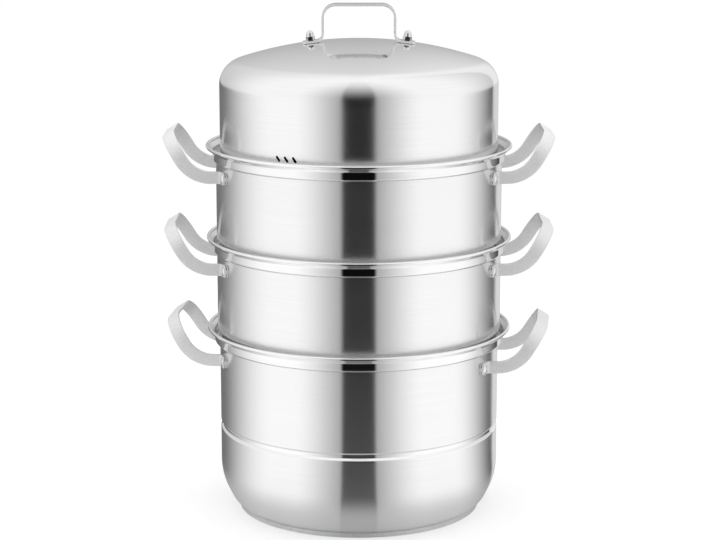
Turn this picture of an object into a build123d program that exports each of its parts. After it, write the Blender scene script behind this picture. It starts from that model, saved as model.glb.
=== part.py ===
from build123d import *
import math
import os

os.makedirs("parts", exist_ok=True)

# Steamer pot: a stock pot, two stacking steamer tiers, three lift-out steam plates and a domed lid.
# Millimetres, Z up from the surface that the pot stands on, X through the handles of the tiers.

# Sheet metal and the fits between the stacked pieces
SHEET = 0.8
SEAT_GAP = 0.3
PLATE_CLEARANCE = 1.0
LEDGE_OVERLAP = 1.2
FLANGE_CLEARANCE = 1.6
HOLE_CLEARANCE = 0.1
FASTENER_GAP = 0.05

# Walls: the tier's outside radius, and how far the pot's and the lid's walls lie inside it
TIER_WALL_R = 142.0
POT_INSET = 2.0
LID_INSET = 4.2

# Heights of the vessels
POT_H = 188.0
TIER_H = 106.4

# Rim of the pot and of each tier: a stepped collar, a flare and a rolled bead
COLLAR_STEP = 3.3
COLLAR_H = 16.0
COLLAR_CHAMFER = 1.6
FLARE_H = 6.5
RIM_OVERHANG = 6.7
BEAD_R = 1.7
BEAD_SIDES = 8

# Lower end of the pot: a flat floor and two blended arcs with a slant between them
CORNER_LOWER_R = 20.0
CORNER_UPPER_R = 60.0
CORNER_SLANT_DEG = 26.6
CORNER_SLANT_H = 31.0

# Groove pressed round the pot's waist; its flat top is the ledge for a steam plate
LEDGE_Z = 93.2
GROOVE_H = 6.4

# Capsule base: a steel cap pressed over an aluminium disc that spreads the heat
BASE_R = 122.0
BASE_H = 3.0
BASE_EDGE_H = 5.2
CAP_SHEET = 0.6

# Foot of each tier: a flange that sits on the shelf below, a neck, a ledge and a shoulder
FOOT_NECK_H = 10.0
FOOT_SHOULDER = 2.6

# Steam plate: a perforated disc with a turned-up edge
PLATE_EDGE_H = 3.0
PLATE_HOLE_R = 5.0
PLATE_HOLE_SIDES = 6
PLATE_RINGS = 3
PLATE_RING_PITCH = 36.0
PLATE_RING_STEP = 6

# Lid: wall, rounded shoulder and shallow dome, with a row of leaning steam slots
LID_H = 116.7
LID_WALL_H = 73.6
LID_SHOULDER_R = 24.6
SLOT_COUNT = 3
SLOT_W = 2.6
SLOT_L = 6.6
SLOT_PITCH_DEG = 3.74
SLOT_Z = 16.4
SLOT_LEAN_DEG = 38.0
SLOT_AZIMUTH_DEG = 240.2

# Side handles: a flat strap on edge that sweeps out and up, with two tabs riveted to the wall and a bar a
# little wider than they are
STRAP_W = 12.2
BAR_W = 13.2
STRAP_T = 2.5
RISE_START = 1.6
RISE_R = 34.0
RISE_DEG = 58.6
RISE_SECTIONS = 6
GRIP_RUN = 28.3
GRIP_W = 97.6
GRIP_CORNER_R = 26.5
LEG_SPLAY = 0.02
ROOT_BEND_R = 4.0
TAB_L = 11.0
TAB_CORNER_R = 4.0
TIER_HANDLE_DROP = 27.5
POT_HANDLE_DROP = 31.2
POT_HANDLE_TURN_DEG = -6.0

# Rivets of the side handles
RIVET_R = 2.5
RIVET_INSET = 5.6
RIVET_HEAD_R = 4.7
RIVET_HEAD_H = 1.9
RIVET_TAIL_R = 4.0
RIVET_TAIL_H = 0.6

# Lid handle: a bent strap with two feet on the dome
BAIL_W = 17.0
BAIL_T = 2.2
BAIL_SPAN = 73.4
BAIL_RISE = 35.7
BAIL_CORNER_R = 13.0
BAIL_FOOT_BEND_R = 6.5
BAIL_SCREW_X = 47.1
BAIL_TOE = 8.3
BAIL_TOE_CORNER_R = 3.0

# Screws, washers and cap nuts that hold the lid handle
SCREW_R = 2.5
SCREW_HEAD_R = 4.6
SCREW_HEAD_H = 2.6
SCREW_HEAD_CHAMFER = 1.0
SCREW_STANDOUT = 5.0
SCREW_RECESS_W = 1.2
SCREW_RECESS_L = 5.0
WASHER_R = 6.0
WASHER_T = 1.0
NUT_FLATS = 8.0
NUT_HEX_H = 4.2
NUT_H = 10.0
NUT_DOME_R = 3.7

# Sizes that follow from those above
HALF = SHEET / 2
POT_WALL_R = TIER_WALL_R - POT_INSET
LID_WALL_R = TIER_WALL_R - LID_INSET
COLLAR_R = TIER_WALL_R + COLLAR_STEP
RIM_R = COLLAR_R + RIM_OVERHANG
FLANGE_R = COLLAR_R - SHEET - FLANGE_CLEARANCE
PLATE_R = POT_WALL_R - SHEET - PLATE_CLEARANCE
LEDGE_R = PLATE_R - LEDGE_OVERLAP
NECK = LEDGE_R + HALF
SHELF_DROP = COLLAR_H - SHEET
LOWER_TIER_Z = POT_H - SHELF_DROP + SEAT_GAP
UPPER_TIER_Z = LOWER_TIER_Z + TIER_H - SHELF_DROP + SEAT_GAP
LID_Z = UPPER_TIER_Z + TIER_H - SHELF_DROP + SEAT_GAP
POT_HANDLE_Z = POT_H - POT_HANDLE_DROP
TIER_HANDLE_Z = TIER_H - TIER_HANDLE_DROP


def spun(profile):
    """Turn a section drawn as radius and height into a solid about the Z axis."""
    return revolve(Plane.XZ * profile, axis=Axis.Z)


def bent_sheet(points, radii):
    """Section of sheet whose middle line runs through the points, with one bend radius at each inner one."""
    return trace(FilletPolyline(*points, radius=radii), line_width=SHEET)


def collar_points(wall_r, rim_z):
    """Middle line of the stepped rim, from the crease at the wall up to the rolled bead."""
    wall = wall_r - HALF
    collar = COLLAR_R - HALF
    shelf = rim_z - COLLAR_H + HALF
    return [
        (wall, shelf),
        (collar - COLLAR_CHAMFER, shelf),
        (collar, shelf + COLLAR_CHAMFER),
        (collar, rim_z - FLARE_H),
        (RIM_R - BEAD_R, rim_z - BEAD_R),
    ]


def vessel(points, radii, wall_r, rim_z):
    """Open vessel: the sheet below, then the collar, and the bead rolled on its top edge."""
    collar = collar_points(wall_r, rim_z)
    sharp = [0] * (len(collar) - 1)
    section = bent_sheet(points + collar, radii + sharp)
    tube = RegularPolygon(BEAD_R, BEAD_SIDES, major_radius=False, rotation=180 / BEAD_SIDES)
    return spun(section + Pos(RIM_R - BEAD_R, rim_z - BEAD_R) * tube)


def corner_points(offset):
    """Floor and corner of the pot as points on a line set off outward from the sheet's middle line."""
    slant = math.radians(CORNER_SLANT_DEG)
    turn = math.pi / 2 - slant
    wall = POT_WALL_R - HALF
    floor_z = BASE_H + HALF
    foot_r = wall - CORNER_SLANT_H * math.tan(slant)
    return [
        (0, floor_z - offset),
        (foot_r + offset * math.tan(turn / 2), floor_z - offset),
        (wall + offset, floor_z + CORNER_SLANT_H - offset * math.tan(slant / 2)),
    ]


def pot_shell():
    """Pot with its waist groove, before drilling."""
    wall = POT_WALL_R - HALF
    ledge = LEDGE_Z - HALF
    lower = ledge + HALF - GROOVE_H
    groove = [(wall, lower - (wall - NECK)), (NECK, lower), (NECK, ledge), (wall, ledge)]
    radii = [CORNER_LOWER_R, CORNER_UPPER_R] + [0] * len(groove)
    return vessel(corner_points(0) + groove, radii, POT_WALL_R, POT_H)


def base_block():
    """Section of the whole capsule base, closed above by the underside of the pot."""
    outside = corner_points(HALF)
    radii = [CORNER_LOWER_R + HALF, CORNER_UPPER_R + HALF]
    top_z = LEDGE_Z - GROOVE_H
    skin = FilletPolyline(*outside, (POT_WALL_R, top_z), radius=radii)
    lid_line = Polyline((POT_WALL_R, top_z), (0, top_z), outside[0])
    pot_body = make_face(skin.edges() + lid_line.edges())
    return Pos(BASE_R / 2, BASE_EDGE_H / 2) * Rectangle(BASE_R, BASE_EDGE_H) - pot_body


def base_core_area():
    """Rectangle that the aluminium disc fills below the pot."""
    core_r = BASE_R - CAP_SHEET
    core_h = BASE_EDGE_H - CAP_SHEET
    return Pos(core_r / 2, CAP_SHEET + core_h / 2) * Rectangle(core_r, core_h)


def base_core():
    """Aluminium disc between the pot and the cap."""
    return spun(base_block() & base_core_area())


def base_cap():
    """Steel cap that covers the disc below and round its edge."""
    return spun(base_block() - base_core_area())


def tier_shell():
    """Steamer tier, open below, before drilling."""
    wall = TIER_WALL_R - HALF
    foot = [
        (FLANGE_R, HALF),
        (NECK, HALF),
        (NECK, FOOT_NECK_H),
        (wall - FOOT_SHOULDER, FOOT_NECK_H),
        (wall, FOOT_NECK_H + FOOT_SHOULDER),
    ]
    return vessel(foot, [0] * (len(foot) - 1), TIER_WALL_R, TIER_H)


def steam_plate():
    """Perforated disc with rings of holes and a turned-up edge."""
    hole = RegularPolygon(PLATE_HOLE_R, PLATE_HOLE_SIDES)
    disc = Circle(PLATE_R) - hole
    for ring in range(1, PLATE_RINGS + 1):
        for place in PolarLocations(ring * PLATE_RING_PITCH, ring * PLATE_RING_STEP):
            disc -= place * hole
    edge = Circle(PLATE_R) - Circle(PLATE_R - SHEET)
    return extrude(disc, SHEET) + extrude(edge, PLATE_EDGE_H)


def dome_radius():
    """Radius of the dome's middle line that runs smoothly into the shoulder."""
    side = LID_WALL_R - HALF - LID_SHOULDER_R
    rise = LID_H - HALF - LID_WALL_H
    return (side**2 + rise**2 - LID_SHOULDER_R**2) / (2 * (rise - LID_SHOULDER_R))


def slot_cutter(place):
    """Round-ended slot through the lid's wall, leaning as it rises."""
    azimuth = math.radians(SLOT_AZIMUTH_DEG + place * SLOT_PITCH_DEG)
    outward = (math.cos(azimuth), math.sin(azimuth), 0)
    across = (-math.sin(azimuth), math.cos(azimuth), 0)
    on_wall = (LID_WALL_R * outward[0], LID_WALL_R * outward[1], SLOT_Z)
    slot = SlotOverall(SLOT_L, SLOT_W, rotation=90 + SLOT_LEAN_DEG)
    return extrude(Plane(on_wall, x_dir=across, z_dir=outward) * slot, SLOT_L, both=True)


def lid_shell():
    """Lid with a flange that sits in the rim below, before drilling for the handle."""
    wall = LID_WALL_R - HALF
    side = wall - LID_SHOULDER_R
    radius = dome_radius()
    slope = math.degrees(math.asin(side / (radius - LID_SHOULDER_R)))
    lower = Polyline((FLANGE_R, HALF), (wall, HALF), (wall, LID_WALL_H))
    shoulder = CenterArc((side, LID_WALL_H), LID_SHOULDER_R, 0, 90 - slope)
    dome = CenterArc((0, LID_H - HALF - radius), radius, 90 - slope, slope)
    lid = spun(trace(Wire(lower.edges() + shoulder.edges() + dome.edges()), line_width=SHEET))
    for index in range(SLOT_COUNT):
        lid -= slot_cutter(index - (SLOT_COUNT - 1) / 2)
    return lid


def leg_point(wall_r, angle):
    """Middle of a leg at an angle along its rise, as distance out, distance to the side and height."""
    grip_side = (GRIP_W - STRAP_T) / 2
    to_grip = RISE_R * (math.radians(RISE_DEG) - angle) + GRIP_RUN - STRAP_T / 2
    side = grip_side + LEG_SPLAY * to_grip
    out = wall_r + RISE_START + RISE_R * math.sin(angle)
    return out, side, RISE_R * (1 - math.cos(angle))


def leg_plane(wall_r, angle):
    """Plane square to a leg at an angle along its rise, with the strap's width along its x."""
    along = (math.cos(angle), -LEG_SPLAY, math.sin(angle))
    return Plane(leg_point(wall_r, angle), x_dir=(-math.sin(angle), 0, math.cos(angle)), z_dir=along)


def handle_leg(wall_r):
    """Curved leg on the left of the handle, which widens towards the bar."""
    sections = []
    for index in range(RISE_SECTIONS):
        share = index / (RISE_SECTIONS - 1)
        width = STRAP_W + (BAR_W - STRAP_W) * share
        sections.append(leg_plane(wall_r, math.radians(RISE_DEG) * share) * Rectangle(width, STRAP_T))
    return loft(sections)


def handle_grip(wall_r):
    """Bar of the handle, with its two rounded corners and the straight ends of the legs."""
    angle = math.radians(RISE_DEG)
    out, side, height = leg_point(wall_r, angle)
    bar = GRIP_RUN - STRAP_T / 2
    bar_side = (GRIP_W - STRAP_T) / 2
    bend = GRIP_CORNER_R - STRAP_T / 2
    line = FilletPolyline((0, side), (bar, bar_side), (bar, -bar_side), (0, -side), radius=bend)
    across = Plane(
        (out, 0, height),
        x_dir=(math.cos(angle), 0, math.sin(angle)),
        z_dir=(-math.sin(angle), 0, math.cos(angle)),
    )
    return extrude(across * trace(line, line_width=STRAP_T), BAR_W / 2, both=True)


def root_bend(wall_r):
    """Start of the leg, and the two ends of the bend into the tab, all in plan on the left side."""
    out, side, _ = leg_point(wall_r, 0)
    length = math.hypot(1, LEG_SPLAY)
    inward = Vector(-1 / length, LEG_SPLAY / length)
    sideways = Vector(LEG_SPLAY / length, 1 / length)
    start = Vector(out, side)
    centre_line = start + sideways * ROOT_BEND_R
    reach = wall_r + STRAP_T / 2 + ROOT_BEND_R
    along = centre_line.dot(inward)
    travel = -along - math.sqrt(along**2 - centre_line.dot(centre_line) + reach**2)
    centre = centre_line + inward * travel
    return start, start + inward * travel, centre * ((reach - ROOT_BEND_R) / reach), inward


def tab_angles(wall_r):
    """Angles round the wall, in degrees, of the tab's start, its rivet and its tip."""
    _, _, touch, _ = root_bend(wall_r)
    radius = wall_r + STRAP_T / 2
    start = math.degrees(math.atan2(touch.Y, touch.X))
    tip = start + math.degrees(TAB_L / radius)
    return start, tip - math.degrees(RIVET_INSET / radius), tip


def handle_root(wall_r):
    """Straight start of a leg, its bend and the tab on the wall, on the left of the handle."""
    start, bend_start, touch, inward = root_bend(wall_r)
    tab_start, _, tip = tab_angles(wall_r)
    leg = Line(start, bend_start)
    bend = TangentArc(bend_start, touch, tangent=inward)
    tab = CenterArc((0, 0), wall_r + STRAP_T / 2, tab_start, tip - tab_start)
    line = Wire(leg.edges() + bend.edges() + tab.edges())
    root = extrude(trace(line, line_width=STRAP_T), STRAP_W / 2, both=True)
    corners = root.edges().filter_by(lambda edge: edge.length < STRAP_T * 1.01).sort_by(Axis.Y)[-2:]
    return fillet(corners, TAB_CORNER_R)


def rivet_plane(wall_r, azimuth, height):
    """Plane on the outside of a wall with its z outward, at an azimuth in degrees."""
    turn = math.radians(azimuth)
    outward = (math.cos(turn), math.sin(turn), 0)
    return Plane((wall_r * outward[0], wall_r * outward[1], height), x_dir=(0, 0, 1), z_dir=outward)


def rivet_planes(wall_r, height, turn):
    """Planes of the four rivets of one vessel."""
    _, azimuth, _ = tab_angles(wall_r)
    return [rivet_plane(wall_r, turn + half + sign * azimuth, height) for half in (0, 180) for sign in (1, -1)]


def drilled(part, planes, radius):
    """Part with a clearance hole through it on each plane's z axis."""
    for plane in planes:
        part -= plane * Cylinder(radius + HOLE_CLEARANCE, 4 * radius)
    return part


def side_handle(wall_r, height, turn):
    """Whole side handle, turned to its place round the wall."""
    left = handle_leg(wall_r) + handle_root(wall_r)
    handle = handle_grip(wall_r) + left + mirror(left, about=Plane.XZ)
    _, azimuth, _ = tab_angles(wall_r)
    tabs = [rivet_plane(wall_r, sign * azimuth, 0) for sign in (1, -1)]
    return Pos(0, 0, height) * Rot(0, 0, turn) * drilled(handle, tabs, RIVET_R)


def cap_radius(base_r, height):
    """Radius of the sphere whose cap has this base radius and height."""
    return (base_r**2 + height**2) / (2 * height)


def rivet(wall_r):
    """Domed rivet on the z axis of a plane that lies on the outside of a wall."""
    sphere_r = cap_radius(RIVET_HEAD_R, RIVET_HEAD_H)
    dome = Pos(0, 0, STRAP_T + RIVET_HEAD_H - sphere_r) * Sphere(sphere_r)
    above = Pos(0, 0, STRAP_T) * Cylinder(sphere_r, 2 * RIVET_HEAD_H, align=(Align.CENTER, Align.CENTER, Align.MIN))
    inside = wall_r - SHEET
    seat = wall_r - math.sqrt(inside**2 - RIVET_TAIL_R**2)
    shank = Cylinder(RIVET_R, STRAP_T + seat, align=(Align.CENTER, Align.CENTER, Align.MIN))
    tail = Cylinder(RIVET_TAIL_R, RIVET_TAIL_H, align=(Align.CENTER, Align.CENTER, Align.MAX))
    return (dome & above) + Pos(0, 0, -seat) * (shank + tail)


def rivets(wall_r, height, turn):
    """The four rivets of one vessel."""
    one = rivet(wall_r)
    return Compound([plane * one for plane in rivet_planes(wall_r, height, turn)])


def dome_plane(side):
    """Plane on the outside of the dome under one screw of the handle; side is 1 or -1."""
    radius = dome_radius() + HALF
    rise = math.sqrt(radius**2 - BAIL_SCREW_X**2)
    spot = (side * BAIL_SCREW_X, 0, LID_H - radius + rise)
    return Plane(spot, x_dir=(0, 1, 0), z_dir=(side * BAIL_SCREW_X / radius, 0, rise / radius))


def lid_handle():
    """Bent strap that stands on the dome."""
    foot = dome_plane(1)
    mid = foot.origin + foot.z_dir * (BAIL_T / 2)
    slope = foot.z_dir.X / foot.z_dir.Z
    leg_x = (BAIL_SPAN - BAIL_T) / 2
    toe_x = BAIL_SCREW_X + BAIL_TOE
    toe = (toe_x, mid.Z - slope * (toe_x - mid.X))
    knee = (leg_x, mid.Z + slope * (mid.X - leg_x))
    top = (leg_x, LID_H + BAIL_RISE - BAIL_T / 2)
    right = [toe, knee, top]
    left = [(-x, z) for x, z in reversed(right)]
    radii = [BAIL_FOOT_BEND_R, BAIL_CORNER_R, BAIL_CORNER_R, BAIL_FOOT_BEND_R]
    line = FilletPolyline(*right, *left, radius=radii)
    strap = extrude(Plane.XZ * trace(line, line_width=BAIL_T), BAIL_W / 2, both=True)
    ends = strap.edges().filter_by(lambda edge: edge.length < BAIL_T * 1.01).sort_by(Axis.X)
    return drilled(fillet(ends[:2] + ends[-2:], BAIL_TOE_CORNER_R), [dome_plane(1), dome_plane(-1)], SCREW_R)


def washer():
    """Washer inside the dome, on the z axis of a plane that lies on the dome."""
    ring = Circle(WASHER_R) - Circle(SCREW_R + HOLE_CLEARANCE)
    return Pos(0, 0, -SHEET - FASTENER_GAP - WASHER_T) * extrude(ring, WASHER_T)


def screw():
    """Cross-head screw from inside the dome up into the cap nut."""
    top = -SHEET - WASHER_T - 2 * FASTENER_GAP
    head = Cylinder(SCREW_HEAD_R, SCREW_HEAD_H, align=(Align.CENTER, Align.CENTER, Align.MAX))
    head = chamfer(head.edges().sort_by(Axis.Z)[0], SCREW_HEAD_CHAMFER)
    for turn in (0, 90):
        head -= Pos(0, 0, -SCREW_HEAD_H) * Rot(0, 0, turn) * Box(SCREW_RECESS_L, SCREW_RECESS_W, SCREW_HEAD_H)
    length = BAIL_T + SCREW_STANDOUT - top
    shank = Cylinder(SCREW_R, length, align=(Align.CENTER, Align.CENTER, Align.MIN))
    return Pos(0, 0, top) * (head + shank)


def cap_nut():
    """Hexagon nut with a domed cap."""
    hexagon = extrude(RegularPolygon(NUT_FLATS / 2, 6, major_radius=False), NUT_HEX_H)
    dome_z = NUT_H - NUT_DOME_R
    barrel = Cylinder(NUT_DOME_R, dome_z, align=(Align.CENTER, Align.CENTER, Align.MIN))
    crown = Pos(0, 0, dome_z) * Sphere(NUT_DOME_R)
    bore_h = SCREW_STANDOUT + SCREW_R / 2
    bore = Cylinder(SCREW_R + HOLE_CLEARANCE, bore_h, align=(Align.CENTER, Align.CENTER, Align.MIN))
    return Pos(0, 0, BAIL_T) * (hexagon + barrel + crown - bore)


def pair_on_dome(one):
    """The same fastener at both feet of the lid handle."""
    return Compound([dome_plane(side) * one for side in (1, -1)])


def save(name, shape, lift):
    """Write one node, raised to its place in the stack."""
    export_step(Pos(0, 0, lift) * shape, f"parts/{name}.step")


# Pot
pot_rivets = rivet_planes(POT_WALL_R, POT_HANDLE_Z, POT_HANDLE_TURN_DEG)
save("pot_shell", drilled(pot_shell(), pot_rivets, RIVET_R), 0)
save("pot_base_core", base_core(), 0)
save("pot_base_cap", base_cap(), 0)
save("pot_handle_right", side_handle(POT_WALL_R, POT_HANDLE_Z, POT_HANDLE_TURN_DEG), 0)
save("pot_handle_left", side_handle(POT_WALL_R, POT_HANDLE_Z, POT_HANDLE_TURN_DEG + 180), 0)
save("pot_handle_rivets", rivets(POT_WALL_R, POT_HANDLE_Z, POT_HANDLE_TURN_DEG), 0)
save("pot_steam_plate", steam_plate(), LEDGE_Z + SEAT_GAP)

# Two equal steamer tiers, each with its steam plate
tier = drilled(tier_shell(), rivet_planes(TIER_WALL_R, TIER_HANDLE_Z, 0), RIVET_R)
for level, tier_z in (("lower", LOWER_TIER_Z), ("upper", UPPER_TIER_Z)):
    save(f"{level}_tier_shell", tier, tier_z)
    save(f"{level}_tier_handle_right", side_handle(TIER_WALL_R, TIER_HANDLE_Z, 0), tier_z)
    save(f"{level}_tier_handle_left", side_handle(TIER_WALL_R, TIER_HANDLE_Z, 180), tier_z)
    save(f"{level}_tier_rivets", rivets(TIER_WALL_R, TIER_HANDLE_Z, 0), tier_z)
    save(f"{level}_steam_plate", steam_plate(), tier_z + FOOT_NECK_H + HALF + SEAT_GAP)

# Lid
save("lid_shell", drilled(lid_shell(), [dome_plane(1), dome_plane(-1)], SCREW_R), LID_Z)
save("lid_handle", lid_handle(), LID_Z)
save("lid_handle_screws", pair_on_dome(screw()), LID_Z)
save("lid_handle_washers", pair_on_dome(washer()), LID_Z)
save("lid_handle_nuts", pair_on_dome(cap_nut()), LID_Z)
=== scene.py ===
import math

import bmesh
import bpy
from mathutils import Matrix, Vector


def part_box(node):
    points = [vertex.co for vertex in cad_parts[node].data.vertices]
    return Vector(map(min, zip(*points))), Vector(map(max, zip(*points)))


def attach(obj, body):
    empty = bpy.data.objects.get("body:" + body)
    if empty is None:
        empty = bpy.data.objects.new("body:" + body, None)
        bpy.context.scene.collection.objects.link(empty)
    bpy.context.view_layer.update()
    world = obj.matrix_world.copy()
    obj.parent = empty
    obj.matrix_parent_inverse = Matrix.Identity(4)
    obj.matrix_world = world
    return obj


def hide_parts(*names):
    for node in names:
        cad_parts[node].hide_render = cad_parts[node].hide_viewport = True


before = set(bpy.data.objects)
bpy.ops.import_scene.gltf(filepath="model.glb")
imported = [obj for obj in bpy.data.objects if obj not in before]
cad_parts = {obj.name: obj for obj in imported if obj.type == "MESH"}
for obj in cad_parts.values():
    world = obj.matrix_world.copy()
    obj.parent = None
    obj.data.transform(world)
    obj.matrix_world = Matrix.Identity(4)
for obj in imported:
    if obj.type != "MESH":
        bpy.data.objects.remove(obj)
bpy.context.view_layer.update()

# Sizes in millimetres, as in the CAD model. Heights and outer radii are read from the frame.
MM = 0.001
SHEET = 0.8
TIER_WALL_R = 142.0
POT_WALL_R = 140.0
LID_WALL_R = 137.8
COLLAR_R = 145.3
COLLAR_H = 16.0
FLARE_H = 6.5
BEAD_R = 1.7
NECK_R = 137.4
FOOT_NECK_H = 10.0
FOOT_SHOULDER = 2.6
CORNER_LOWER_R = 20.0
CORNER_UPPER_R = 60.0
CORNER_SLANT_DEG = 26.6
CORNER_SLANT_H = 31.0
LEDGE_Z = 93.2
GROOVE_H = 6.4
LID_WALL_H = 73.6
LID_SHOULDER_R = 24.6
PLATE_HOLE_R = 5.0
PLATE_RINGS = 3
PLATE_RING_PITCH = 36.0
PLATE_RING_STEP = 6

# Bends of the sheet, which the CAD model keeps as plain corners
CREASE_R = 0.7
SHELF_R = 2.4
FLARE_R = 2.5
FOOT_BEND_R = 1.4
FOOT_NECK_BEND_R = 0.7
FLANGE_BEND_R = 1.2
GROOVE_LOWER_R = 2.0
GROOVE_BOTTOM_R = 0.5
GROOVE_LIP_R = 0.25
GROOVE_UPPER_R = 1.0

# The waist groove sits a little lower than in the CAD model, and its upper side slopes from a lip to the wall
GROOVE_DROP = 1.3
GROOVE_LIP = 1.5
GROOVE_LIP_H = 2.4

# The edge of the base cap is lower and further in than in the CAD model
CAP_INSET = 3.6
CAP_DROP = 1.3
CAP_EDGE_R = 1.0
CAP_TOP_R = 0.5
CAP_TOP_W = 2.0

# Steam slots of the lid
SLOT_COUNT = 3
SLOT_W = 2.6
SLOT_L = 6.6
SLOT_PITCH_DEG = 3.74
SLOT_Z = 16.4
SLOT_LEAN_DEG = 38.0
SLOT_AZIMUTH_DEG = 240.2

# Side handles
STRAP_W = 12.2
BAR_W = 13.2
STRAP_T = 2.5
STRAP_EDGE_R = 0.7
RISE_START = 1.6
RISE_R = 34.0
RISE_DEG = 58.6
GRIP_RUN = 28.3
GRIP_W = 97.6
GRIP_CORNER_R = 26.5
LEG_SPLAY = 0.02
ROOT_BEND_R = 4.0
TAB_L = 11.0
TAB_CORNER_R = 4.0
TIER_HANDLE_DROP = 27.5
POT_HANDLE_DROP = 31.2
POT_HANDLE_TURN_DEG = -6.0
RIVET_INSET = 5.6
RIVET_HEAD_R = 4.7
RIVET_HEAD_H = 1.9
RIVET_LIP = 0.45
RIVET_TAIL_R = 4.0
RIVET_TAIL_TIP_R = 3.2
RIVET_TAIL_H = 0.6
RIVET_TAIL_EDGE_H = 0.36

# Lid handle and its cap nuts
BAIL_W = 17.0
BAIL_T = 2.2
BAIL_EDGE_R = 0.45
BAIL_SPAN = 73.4
BAIL_CORNER_R = 13.0
BAIL_FOOT_BEND_R = 6.5
BAIL_SCREW_X = 47.1
BAIL_TOE = 8.3
BAIL_TOE_CORNER_R = 3.0
NUT_FLATS = 8.0
NUT_HEX_H = 4.2
NUT_H = 10.0
NUT_DOME_R = 3.7
NUT_CHAMFER_R = 3.9
NUT_CHAMFER_DEG = 30.0

# Camera, fitted to the photograph: focal length in pixels of the 716 x 540 frame, place in millimetres
IMAGE_W = 716
FOCAL_PX = 2181.4
CENTRE_PX = 358.9
CAMERA_Y = -2146.1
CAMERA_Z = 691.3
CAMERA_PITCH_DEG = 11.838
SENSOR_MM = 36.0

# Fineness of the meshes: steps of the curves, and distances in millimetres
SPIN_STEPS = 224
BEAD_STEPS = 20
DOME_STEPS = 24
SLOT_END_STEPS = 8
PLATE_STEPS = 12
STRAP_CORNER_STEPS = 3
TAB_STEPS = 24
TAB_CROWDING = 1.5
RISE_STEPS = 20
TOE_STEPS = 12
TOE_SHARE = 0.5
TURNED_STEPS = 32
RIVET_STEPS = 8
NUT_STEPS = 72
NUT_DOME_STEPS = 9
ARC_STEP_DEG = 5.0
WALL_ROW = 4.0
POLE_R = 0.01
MERGE_DISTANCE = 1e-4
FLAT_DISTANCE = 1e-5
STRAIGHT_TURN = 1e-6
LEAST_MITRE = 0.3
SHARP_DEG = 30.0
STRAP_SHARP_DEG = 50.0
NEARLY_UPRIGHT = 0.9
PLATE_ROUNDING = 0.3
CIRCLE_HANDLE = 4 * (math.sqrt(2) - 1) / 3

HALF = SHEET / 2
UP = Vector((0, 0, 1))
TO_DEGREES = 180 / math.pi


def size_of(node):
    """Lowest and highest corner of a node in millimetres."""
    low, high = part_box(node)
    return [value / MM for value in low], [value / MM for value in high]


POT_LOW, POT_HIGH = size_of("pot_shell")
TIER_LOW, TIER_HIGH = size_of("lower_tier_shell")
LID_LOW, LID_HIGH = size_of("lid_shell")
CAP_HIGH = size_of("pot_base_cap")[1]
BAIL_HIGH = size_of("lid_handle")[1]
PLATE_LOW, PLATE_HIGH = size_of("pot_steam_plate")
RIM_R = POT_HIGH[0]
POT_H = POT_HIGH[2]
TIER_H = TIER_HIGH[2] - TIER_LOW[2]
LID_H = LID_HIGH[2] - LID_LOW[2]
FLANGE_R = LID_HIGH[0]
FLOOR_Z = POT_LOW[2] + HALF
CAP_R = CAP_HIGH[0] - CAP_INSET
CAP_TOP = CAP_HIGH[2] - CAP_DROP
PLATE_R = PLATE_HIGH[0]
PLATE_EDGE_H = PLATE_HIGH[2] - PLATE_LOW[2]

# Where one finish of a vessel ends and the next begins
BEAD_INNER_R = RIM_R - 1.5 * BEAD_R
SHELF_BOTTOM = COLLAR_H - SHELF_R * 2 / 3
GROOVE_MIDDLE_Z = LEDGE_Z - GROOVE_DROP - GROOVE_H / 2
GROOVE_INNER_R = POT_WALL_R - 2 * GROOVE_LIP_H
INSIDE_FROM_Z = FLOOR_Z + 1.5 * CORNER_SLANT_H


# Outlines

def direction(turn):
    """Unit vector in plan at an angle in radians."""
    return Vector((math.cos(turn), math.sin(turn)))


def full_turn(count):
    """Angles in radians that share out a full turn."""
    return [2 * math.pi * index / count for index in range(count)]


def right_of(step):
    """Unit vector to the right of a step in plan."""
    return Vector((step.y, -step.x)).normalized()


def step_at(line, index):
    """Step of a line from the point before a place to the point after it."""
    return line[min(index + 1, len(line) - 1)] - line[max(index - 1, 0)]


def arc_points(centre, radius, start, end):
    """Points on an arc from one angle to another, in radians."""
    count = max(2, math.ceil(abs(math.degrees(end - start)) / ARC_STEP_DEG))
    turns = [start + (end - start) * index / count for index in range(count + 1)]
    return [centre + radius * direction(turn) for turn in turns]


def rounded_line(points, radii):
    """Line through points with an arc of the given radius at each inner one."""
    spots = [Vector(point) for point in points]
    line = [spots[0]]
    for before, corner, after, radius in zip(spots, spots[1:], spots[2:], radii):
        into = (corner - before).normalized()
        out = (after - corner).normalized()
        turn = into.angle_signed(out)
        if radius == 0 or abs(turn) < STRAIGHT_TURN:
            line.append(corner)
            continue
        reach = radius * math.tan(abs(turn) / 2)
        side = right_of(into) if turn > 0 else -right_of(into)
        centre = corner - into * reach + side * radius
        start = math.atan2(-side.y, -side.x)
        line += arc_points(centre, radius, start, start - turn)
    line.append(spots[-1])
    return line


def offset_line(line, distance):
    """Line moved sideways, to its right, by a distance."""
    moved = []
    for index, point in enumerate(line):
        before = line[max(index - 1, 0)]
        after = line[min(index + 1, len(line) - 1)]
        into = (point - before) if index else (after - point)
        out = (after - point) if index < len(line) - 1 else into
        normal = (right_of(into) + right_of(out)).normalized()
        stretch = 1 / max(normal.dot(right_of(into)), LEAST_MITRE)
        moved.append(point + normal * distance * stretch)
    return moved


def sheet_loop(line):
    """Closed outline of bent sheet whose middle follows a line."""
    return offset_line(line, HALF) + offset_line(line, -HALF)[::-1]


def circle_loop(centre, radius):
    """Closed outline of a round tube."""
    return [Vector(centre) + radius * direction(turn) for turn in full_turn(BEAD_STEPS)]


# Meshes

def linked(item):
    """Object added to the scene."""
    bpy.context.scene.collection.objects.link(item)
    return item


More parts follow.
